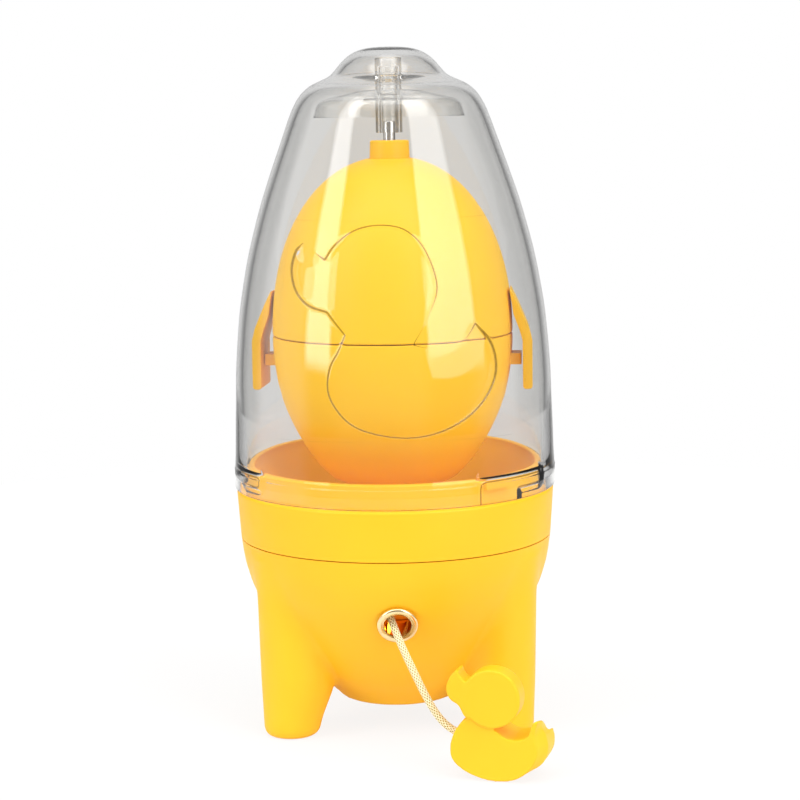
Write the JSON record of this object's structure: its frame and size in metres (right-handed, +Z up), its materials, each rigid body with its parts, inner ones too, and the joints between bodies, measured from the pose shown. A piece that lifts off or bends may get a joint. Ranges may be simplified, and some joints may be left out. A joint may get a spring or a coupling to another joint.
{
  "type": "egg spinner",
  "caption": "Hand-pulled egg spinner: a cord-driven spindle in a three-legged base turns an egg-shaped capsule under a clear bullet-shaped cover.",
  "frame": {"origin": "on the spindle axis, on the surface that the three legs stand on", "axes": "+Z up along the spindle axis, -Y to the front, where the cord leaves through its eyelet, +X to the right seen from the front"},
  "size_m": [0.0936, 0.117, 0.1964],
  "materials": {
    "yellow_plastic": "gloss",
    "deep_yellow_plastic": "satin",
    "clear_plastic": "polished, transparent",
    "steel": "bright",
    "brass": "polished",
    "braided_cord": "braided",
    "natural_nylon": "matte",
    "silicone": "soft matte"
  },
  "bodies": {
    "base": {"lower_housing": "yellow_plastic", "base_collar": "yellow_plastic", "case_screw_1": "steel", "case_screw_2": "steel", "case_screw_3": "steel", "lower_bush": "natural_nylon", "upper_bush": "natural_nylon", "cord_eyelet": "brass", "eyelet_washer": "brass", "cord_lead": "braided_cord"},
    "spindle": {"spindle_shaft": "steel", "cord_spool": "deep_yellow_plastic", "cord_winding": "braided_cord", "drive_head": "deep_yellow_plastic", "thrust_washer": "natural_nylon", "shaft_clip": "steel"},
    "capsule_lower": {"capsule_lower_shell": "yellow_plastic", "lower_liner": "silicone"},
    "capsule_upper": {"capsule_upper_shell": "yellow_plastic", "upper_liner": "silicone", "top_pin": "steel"},
    "latch_left": {"latch_arm_left": "yellow_plastic"},
    "latch_right": {"latch_arm_right": "yellow_plastic"},
    "cover_crown": {"cover_stem": "clear_plastic"},
    "cover_shell": {"cover_dome": "clear_plastic"},
    "pull": {"pull_handle": "yellow_plastic", "pull_cord": "braided_cord"}
  },
  "joints": [
    {"name": "spindle_spin", "type": "hinge", "parent": "base", "child": "spindle", "pos_m": [0, 0, 0.0375], "axis": [0, 0, 1], "range_deg": [0, 2645]},
    {"name": "handle_pull", "type": "slide", "parent": "base", "child": "pull", "axis": [0, -1, 0], "range_m": [0, 0.3001], "deforming": ["pull_cord"]},
    {"name": "cover_lift", "type": "slide", "parent": "base", "child": "cover_crown", "axis": [0, 0, 1], "range_m": [0, 0.13]},
    {"name": "cover_twist", "type": "hinge", "parent": "cover_crown", "child": "cover_shell", "pos_m": [0, 0, 0.0704], "axis": [0, 0, 1], "range_deg": [-16.5, 0]},
    {"name": "capsule_lift", "type": "slide", "parent": "spindle", "child": "capsule_lower", "axis": [0, 0, 1], "range_m": [0, 0.039]},
    {"name": "capsule_open", "type": "slide", "parent": "capsule_lower", "child": "capsule_upper", "axis": [0, 0, 1], "range_m": [0, 0.039]},
    {"name": "latch_left_flex", "type": "hinge", "parent": "capsule_upper", "child": "latch_left", "pos_m": [-0.03441, 0.00362, 0.1264], "axis": [0.1045, 0.9945, 0], "range_deg": [0, 4.5], "stiffness_Nm_per_rad": 0.5},
    {"name": "latch_right_flex", "type": "hinge", "parent": "capsule_upper", "child": "latch_right", "pos_m": [0.03441, -0.00362, 0.1264], "axis": [-0.1045, -0.9945, 0], "range_deg": [0, 4.5], "stiffness_Nm_per_rad": 0.5}
  ],
  "couplings": [
    {"joint": "handle_pull", "follows": "spindle_spin", "m_per_rad": 0.0065},
    {"joint": "capsule_lift", "follows": "cover_lift", "ratio": 0.3},
    {"joint": "capsule_open", "follows": "cover_lift", "ratio": 0.3}
  ]
}
